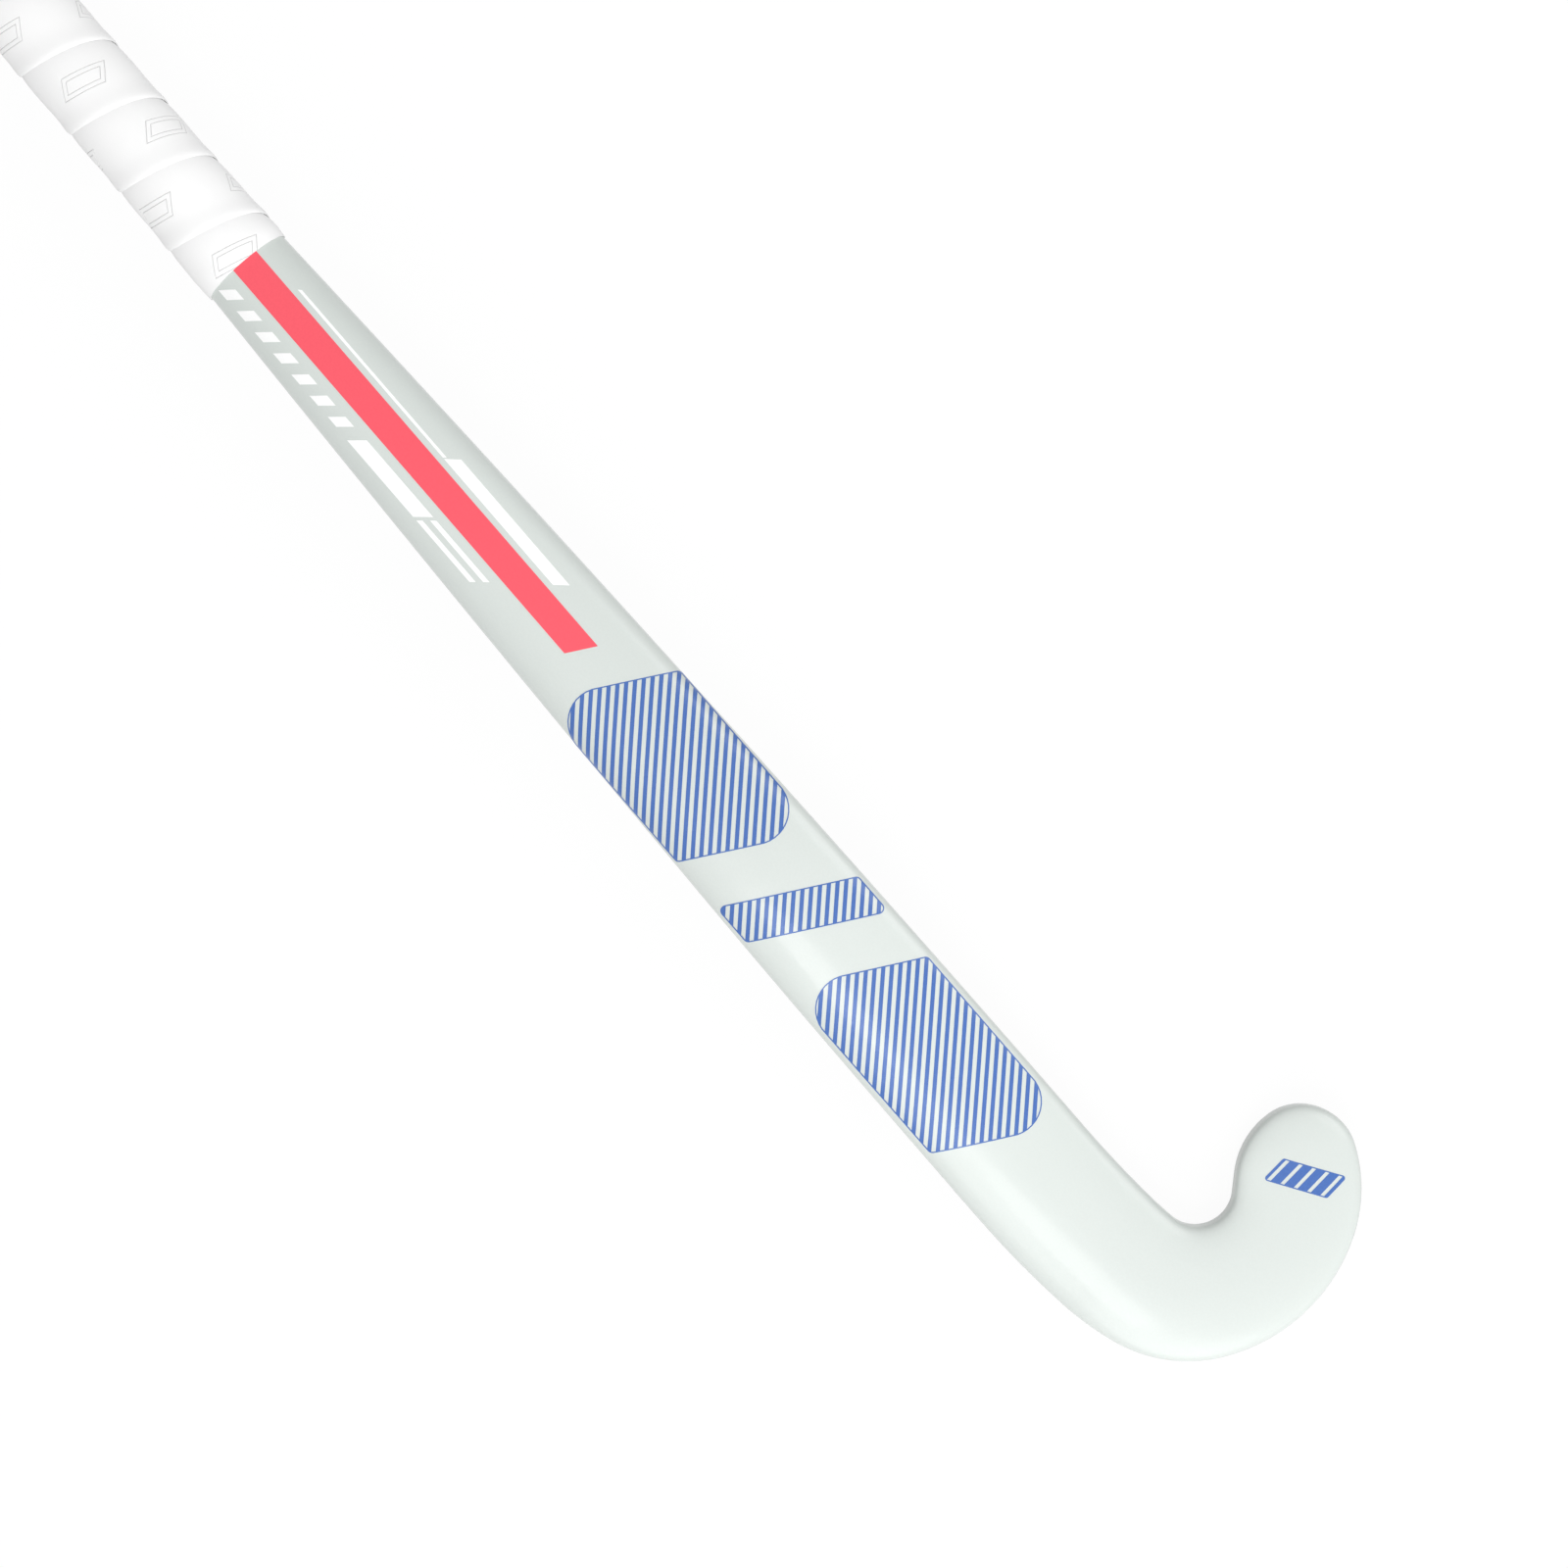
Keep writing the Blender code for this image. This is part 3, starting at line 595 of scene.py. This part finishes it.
# Small leaning lozenges are pressed into the flat strip as thin double outlines, one after
# another along its middle. The outlines are grooves, with shade painted into the strip's colour
# at their bottom, and only the cells of the strip that lie close to a lozenge are cut for them.
LOZENGE_PITCH = 0.036
LOZENGE_LENGTH = 0.015
LOZENGE_WIDTH = 0.0075
LOZENGE_LEAN = 0.6
LOZENGE_BORDER = 0.0016
LOZENGE_GROOVE = 0.00024
LOZENGE_DEPTH = 0.0002
CUT_REACH = 0.0026
STRIP_TOP = 0.0003


def from_lozenge(place):
    """Number of the nearest lozenge and how far a place is past its ends and its sides."""
    side = place.y - GRIP_WIDTH / 2
    number, along = divmod(place.x + side * LOZENGE_LEAN, LOZENGE_PITCH)
    return (number, abs(along - LOZENGE_PITCH / 2) - LOZENGE_LENGTH / 2,
            abs(side) - LOZENGE_WIDTH / 2)


def outline_cuts(part, middle, direction, normal, reach):
    """Cut along both sides and the middle of the grooves that face one way and the other."""
    for outline_reach in (reach, reach - LOZENGE_BORDER):
        for offset in (-LOZENGE_GROOVE, 0, LOZENGE_GROOVE):
            for side in (-1, 1):
                edge = middle + direction * side * (outline_reach + offset)
                part = bmesh.ops.bisect_plane(grip, geom=part, dist=1e-5, plane_co=edge,
                                              plane_no=normal)["geom"]
    return part


pressed = {}
for face in grip.faces:
    middle = face.calc_center_median()
    number, past_end, past_side = from_lozenge(middle)
    if middle.z > STRIP_TOP and max(past_end, past_side) < CUT_REACH:
        pressed.setdefault(number, []).append(face)
cut_parts = []
for number, faces in pressed.items():
    part = list(dict.fromkeys(item for face in faces for item in (face, *face.edges, *face.verts)))
    middle = Vector(((number + 0.5) * LOZENGE_PITCH, GRIP_WIDTH / 2, 0))
    cut_parts += outline_cuts(part, middle, Vector((1, 0, 0)),
                              Vector((1, LOZENGE_LEAN, 0)).normalized(), LOZENGE_LENGTH / 2)
outline_cuts(cut_parts, Vector((0, GRIP_WIDTH / 2, 0)),
             Vector((0, 1, 0)), Vector((0, 1, 0)), LOZENGE_WIDTH / 2)
for vert in grip.verts:
    gap = max(from_lozenge(vert.co)[1:])
    line = min(abs(gap), abs(gap + LOZENGE_BORDER))
    if vert.co.z > STRIP_TOP and line < LOZENGE_GROOVE:
        vert.co.z -= LOZENGE_DEPTH * (1 - line / LOZENGE_GROOVE)

for vert in grip.verts:
    along, across, height = vert.co
    _, angle, leading = winding(along / GRIP_GIRTH * GRIP_STEPS)
    vert[strip_place] = (along, across, 0)
    vert.co = around_handle(leading - GRIP_WIDTH + across, angle, GRIP_SINK + height)
bmesh.ops.reverse_faces(grip, faces=grip.faces)

cushion = Finish("cushioned_strip")
spot = cushion.add("ShaderNodeSeparateXYZ")
cushion.feed(cushion.add("ShaderNodeAttribute", attribute_name="strip_place").outputs["Vector"],
             spot.inputs["Vector"])
across = cushion.calc("SUBTRACT", spot.outputs["Y"], GRIP_WIDTH / 2)
along = cushion.calc("ADD", spot.outputs["X"], cushion.calc("MULTIPLY", across, LOZENGE_LEAN))
along = cushion.calc("SUBTRACT", cushion.calc("MODULO", along, LOZENGE_PITCH), LOZENGE_PITCH / 2)
along = cushion.calc("SUBTRACT", cushion.calc("ABSOLUTE", along), LOZENGE_LENGTH / 2)
across = cushion.calc("SUBTRACT", cushion.calc("ABSOLUTE", across), LOZENGE_WIDTH / 2)
outline_gap = cushion.calc("MAXIMUM", along, across)
line = cushion.calc("MINIMUM", cushion.calc("ABSOLUTE", outline_gap),
                    cushion.calc("ABSOLUTE", cushion.calc("ADD", outline_gap, LOZENGE_BORDER)))
# Painted shade: the strip's colour is darkened to grey along the bottom of each lozenge groove.
groove_painted_shade = cushion.ramp(line, 0, 1, LOZENGE_GROOVE / 4, LOZENGE_GROOVE)
tone = cushion.mix(cushion.noise(40.0), (0.92, 0.92, 0.92, 1), (0.95, 0.95, 0.95, 1))
cushion.set(Base_Color=cushion.mix(groove_painted_shade, (0.66, 0.66, 0.66, 1), tone),
            Roughness=cushion.ramp(cushion.noise(300.0), 0.55, 0.7),
            Normal=cushion.bump(cushion.noise(1500.0, 3.0), 0.00004))
add_piece("wound_grip", grip, cushion.material, "grip_foam", "grip_wrap", sharp=30)

# The printed films lie on the rounded back under the clear lacquer: a red stripe from under
# the grip, white blocks and bars beside it, and blue panels of slanted pin-stripes. Each one
# is cut from the shell's own surface, is 0.04 mm thick and lies 0.03 mm off it.
FILM_LIFT = 0.00003
FILM_THICKNESS = 0.00004
BAR_SLANT = 47.5
PANEL_SLANT = 61.5

back = bmesh.new()
lay_skin(back, outside, back_only=True)
if sum(face.normal.z for face in back.faces) < 0:
    bmesh.ops.reverse_faces(back, faces=back.faces)
for vert in back.verts:
    vert.co += vert.normal * FILM_LIFT
back_mesh = bpy.data.meshes.new("back_surface")
back.to_mesh(back_mesh)
back.free()


def cut(bm, point, heading, clear=True):
    """Cut along a line on the plan; what lies to its right is cleared."""
    angle = math.radians(heading)
    bmesh.ops.bisect_plane(bm, geom=bm.verts[:] + bm.edges[:] + bm.faces[:], dist=1e-7,
                           plane_co=(point.x, point.y, 0),
                           plane_no=(math.sin(angle), -math.cos(angle), 0), clear_outer=clear)


def slanted_sides(x, y, length, width, heading, slant):
    """The four sides of a slanted bar centred on y that starts at x, each a point and a heading."""
    along = Vector((math.cos(math.radians(heading)), math.sin(math.radians(heading))))
    across = Vector((-along.y, along.x)) * width / 2
    start = Vector((x, y))
    return [(start - across, heading), (start + along * length, heading + slant),
            (start + across, heading + 180), (start, heading + slant + 180)]


def cut_film(sides):
    bm = bmesh.new()
    bm.from_mesh(back_mesh)
    for point, heading in sides:
        cut(bm, point, heading)
    return bm


def thicken(bm):
    """Give a film its thickness; its faces are then put in one order, the same on each run."""
    bm.normal_update()
    bmesh.ops.solidify(bm, geom=bm.faces[:], thickness=-FILM_THICKNESS)
    bmesh.ops.recalc_face_normals(bm, faces=bm.faces)
    bm.verts.index_update()
    ordered = sorted(bm.faces, key=lambda face: sorted(vert.index for vert in face.verts))
    places = {face: place for place, face in enumerate(ordered)}
    bm.faces.sort(key=places.get)


def printed_film(name, colour, deeper):
    film = Finish(name)
    coat = film.group(spray_coat, Place=film.place, Peel_Scale=380.0, Cloud_Scale=30.0)
    film.set(Base_Color=film.mix(film.ramp(coat.outputs["Grain"], 0, 1, 0.35, 0.65),
                                 colour, deeper),
             Roughness=film.ramp(coat.outputs["Grain"], 0.34, 0.42, 0.3, 0.7),
             Normal=film.bump(coat.outputs["Peel"], 0.00004),
             Coat_Weight=0.25, Coat_Roughness=0.12)
    return film.material


red = printed_film("red_print", (0.90, 0.083, 0.121, 1), (0.88, 0.078, 0.114, 1))
white = printed_film("white_print", (0.975, 0.98, 0.978, 1), (0.955, 0.96, 0.958, 1))
blue = printed_film("blue_print", (0.043, 0.133, 0.427, 1), (0.038, 0.119, 0.398, 1))


def bar(start, offset, length, width, slant=BAR_SLANT):
    """Film on the shaft, placed from the collar and the middle line."""
    return cut_film(slanted_sides(collar_x + start, axis_y + offset, length, width, 0, slant))


def add_film(node, bm, material, slot):
    thicken(bm)
    add_piece(node + "_print", bm, material, slot, node)


HEEL_OFFSET = -0.0100
FIRST_BLOCK = 0.0030
BLOCK_PITCH = 0.00944
THIN_BAR_START = 0.1059
THIN_BAR_SIDE = 0.00175
TOE_BAR_START = 0.0947
TOE_BAR_SIDE = 0.0016

run = 1 / math.tan(math.radians(BAR_SLANT))
add_film("red_stripe", bar(start=-0.0101, offset=0.0010, length=0.1831, width=0.0101,
                           slant=PANEL_SLANT), red, "red_film")
for i in range(7):
    add_film(f"white_block_{i + 1}", bar(FIRST_BLOCK + BLOCK_PITCH * i, HEEL_OFFSET,
                                         length=0.0045, width=0.0046), white, "white_film")
add_film("white_heel_bar", bar(start=0.0701, offset=HEEL_OFFSET, length=0.0342, width=0.0051),
         white, "white_film")
for number, side in ((1, -THIN_BAR_SIDE), (2, THIN_BAR_SIDE)):
    add_film(f"white_thin_bar_{number}", bar(THIN_BAR_START + side * run, HEEL_OFFSET + side,
                                             length=0.0274, width=0.0016), white, "white_film")
add_film("white_toe_line", bar(start=0.0193, offset=0.0086, length=0.0748, width=0.0010),
         white, "white_film")
add_film("white_toe_bar", bar(TOE_BAR_START + TOE_BAR_SIDE * run, offset=0.0102,
                              length=0.0560, width=0.0042), white, "white_film")

STRIPE_PITCH = 0.00291
STRIPE_WIDTH = 0.00142
STRIPE_HEADING = 135.2
BORDER = 0.0004
CORNER_STEPS = 12


def rounded(sides, radii, grow=0.0):
    """Sides of a convex plan shape with its corners cut round; grow moves them outwards."""
    lines = []
    for i, (point, heading) in enumerate(sides):
        following, turn_to = sides[(i + 1) % len(sides)]
        turn = (turn_to - heading) % 360
        first = Vector((math.cos(math.radians(heading)), math.sin(math.radians(heading))))
        second = Vector((math.cos(math.radians(turn_to)), math.sin(math.radians(turn_to))))
        gap = following - point
        reach = (gap.x * second.y - gap.y * second.x) / (first.x * second.y - first.y * second.x)
        corner = point + first * reach
        inward = Vector((-first.y, first.x))
        lines.append((point - inward * grow, heading))
        radius = radii[i]
        if radius:
            back_off = radius * math.tan(math.radians(turn) / 2)
            centre = corner - first * back_off + inward * radius
            for k in range(1, CORNER_STEPS):
                angle = heading + turn * k / CORNER_STEPS
                outward = Vector((math.sin(math.radians(angle)), -math.cos(math.radians(angle))))
                lines.append((centre + outward * (radius + grow), angle))
    return lines


def inside(place, lines):
    """How deep a place lies inside all the lines."""
    depth = math.inf
    for point, heading in lines:
        angle = math.radians(heading)
        depth = min(depth, (place - point).dot(Vector((-math.sin(angle), math.cos(angle)))))
    return depth


def pin_striped(sides, radii, pitch=STRIPE_PITCH, width=STRIPE_WIDTH, heading=STRIPE_HEADING):
    """Panel of slanted stripes inside a thin border."""
    bm = cut_film(rounded(sides, radii))
    inner = rounded(sides, radii, -BORDER)
    for point, angle in inner:
        cut(bm, point, angle, clear=False)
    along = Vector((math.cos(math.radians(heading)), math.sin(math.radians(heading))))
    across = Vector((-along.y, along.x))
    spots = [vert.co.xy.dot(across) for vert in bm.verts]
    for k in range(math.floor(min(spots) / pitch), math.ceil(max(spots) / pitch) + 1):
        for edge in (k * pitch, k * pitch + width):
            cut(bm, across * edge, heading, clear=False)
    spare = []
    for face in bm.faces:
        place = face.calc_center_median().xy
        if inside(place, inner) > 0 and place.dot(across) % pitch > width:
            spare.append(face)
    bmesh.ops.delete(bm, geom=spare, context="FACES")
    return bm


PANEL_WIDTH = 0.0435
TIGHT_CORNER = 0.002
SWEPT_CORNER = 0.012
for name, start, length, radii in (
        ("upper_panel", 0.188, 0.072, (TIGHT_CORNER, SWEPT_CORNER) * 2),
        ("middle_panel", 0.280, 0.016, (TIGHT_CORNER,) * 4),
        ("lower_panel", 0.316, 0.076, (TIGHT_CORNER, SWEPT_CORNER) * 2)):
    sides = slanted_sides(collar_x + start, axis_y, length, PANEL_WIDTH, 0, PANEL_SLANT)
    add_film(name, pin_striped(sides, radii), blue, "blue_film")

MARK_LENGTH = 0.023
MARK_WIDTH = 0.009
MARK_HEADING = 33
MARK_SLANT = 62
MARK_CORNER = 0.001
MARK_FROM_TIP = Vector((0.0047, -0.0039))
heading = math.radians(MARK_HEADING)
middle = tip_centre + MARK_FROM_TIP
start = middle - Vector((math.cos(heading), math.sin(heading))) * (MARK_LENGTH / 2)
sides = slanted_sides(start.x, start.y, MARK_LENGTH, MARK_WIDTH, MARK_HEADING, MARK_SLANT)
add_film("toe_mark", pin_striped(sides, (MARK_CORNER,) * 4, pitch=0.0042, width=0.0030,
                                 heading=95), blue, "blue_film")

# The studio is a white floor and backdrop. The sky's light is dimmer behind the butt, and there
# are three soft lamps: high over the heel's side, low by the head's base and on the toe's side.
FLOOR_SIZE = 6
FLOOR_DROP = 0.0002
FLOOR_GREY = (0.35, 0.35, 0.35, 1)
FLOOR_GLOW = 0.94

floor_mesh = bmesh.new()
bmesh.ops.create_grid(floor_mesh, x_segments=1, y_segments=1, size=FLOOR_SIZE)
floor_data = bpy.data.meshes.new("floor")
floor_mesh.to_mesh(floor_data)
floor_mesh.free()
floor = bpy.data.objects.new("floor", floor_data)
floor.location.z = -FLOOR_DROP
bpy.context.scene.collection.objects.link(floor)


def backdrop_rays(tree):
    """1 for the camera, glossy and transmission rays, which show the backdrop."""
    path = tree.nodes.new("ShaderNodeLightPath")
    seen = path.outputs["Is Camera Ray"]
    for ray in ("Is Glossy Ray", "Is Transmission Ray"):
        either = tree.nodes.new("ShaderNodeMath")
        either.operation = "MAXIMUM"
        tree.links.new(seen, either.inputs[0])
        tree.links.new(path.outputs[ray], either.inputs[1])
        seen = either.outputs["Value"]
    return seen


paint = Finish("floor_paint")
seen = backdrop_rays(paint.tree)
paint.set(Base_Color=paint.mix(seen, FLOOR_GREY, (1, 1, 1, 1)),
          Roughness=0.9, Specular_IOR_Level=0.0)
glow = paint.add("ShaderNodeEmission")
glow.inputs["Strength"].default_value = 1.0
blend = paint.add("ShaderNodeMixShader")
paint.feed(paint.calc("MULTIPLY", seen, FLOOR_GLOW), blend.inputs[0])
paint.feed(paint.shader.outputs["BSDF"], blend.inputs[1])
paint.feed(glow.outputs["Emission"], blend.inputs[2])
paint.feed(blend.outputs["Shader"], paint.tree.nodes["Material Output"].inputs["Surface"])
floor_data.materials.append(paint.material)


def add_lamp(name, place, aim, size, power):
    lamp = bpy.data.objects.new(name, bpy.data.lights.new(name, "AREA"))
    lamp.data.shape = "DISK"
    lamp.data.size = size
    lamp.data.energy = power
    lamp.location = place
    lamp.rotation_euler = (Vector(aim) - Vector(place)).to_track_quat("-Z", "Y").to_euler()
    bpy.context.scene.collection.objects.link(lamp)


add_lamp("high_lamp", place=(0.70, -0.53, 1.54), aim=(0.42, -0.03, 0.02), size=0.6, power=4.7)
add_lamp("base_lamp", place=(0.90, -0.45, 0.45), aim=(0.45, -0.03, 0.02), size=0.8, power=3.0)
add_lamp("toe_lamp", place=(0.40, 0.90, 0.90), aim=(0.20, -0.03, 0.02), size=0.8, power=3.85)

VIEW_WIDTH = 0.54167
VIEW_DISTANCE = 1.27
CAMERA_X = 0.20834
CAMERA_OFFSET = 0.02310
CAMERA_HEIGHT = 1.28
CAMERA_TURN = 49.1511
camera = bpy.data.objects.new("camera", bpy.data.cameras.new("camera"))
camera.data.angle = 2 * math.atan(VIEW_WIDTH / 2 / VIEW_DISTANCE)
camera.data.clip_end = 20
camera.location = (CAMERA_X, axis_y + CAMERA_OFFSET, CAMERA_HEIGHT)
camera.rotation_euler.z = math.radians(CAMERA_TURN)
bpy.context.scene.collection.objects.link(camera)
bpy.context.scene.camera = camera

SKY_BEHIND_BUTT = 0.37
SKY_PAST_HEAD = 1.50
SKY_ZENITH = 0.655
world = bpy.data.worlds.new("studio")
bpy.context.scene.world = world
world.use_nodes = True
sky = world.node_tree
background = sky.nodes["Background"]
background.inputs["Color"].default_value = (1, 1, 1, 1)
direction = sky.nodes.new("ShaderNodeSeparateXYZ")
sky.links.new(sky.nodes.new("ShaderNodeTexCoord").outputs["Generated"], direction.inputs["Vector"])
horizon = sky.nodes.new("ShaderNodeMapRange")
horizon.inputs["From Min"].default_value = -1
horizon.inputs["To Min"].default_value = SKY_BEHIND_BUTT
horizon.inputs["To Max"].default_value = SKY_PAST_HEAD
sky.links.new(direction.outputs["X"], horizon.inputs["Value"])
height = sky.nodes.new("ShaderNodeMapRange")
height.inputs["To Max"].default_value = SKY_ZENITH
sky.links.new(direction.outputs["Z"], height.inputs["Value"])
sky.links.new(horizon.outputs["Result"], height.inputs["To Min"])
shown = sky.nodes.new("ShaderNodeMapRange")
sky.links.new(backdrop_rays(sky), shown.inputs["Value"])
sky.links.new(height.outputs["Result"], shown.inputs["To Min"])
shown.inputs["To Max"].default_value = 1.0
sky.links.new(shown.outputs["Result"], background.inputs["Strength"])
bpy.context.scene.view_settings.view_transform = "Standard"
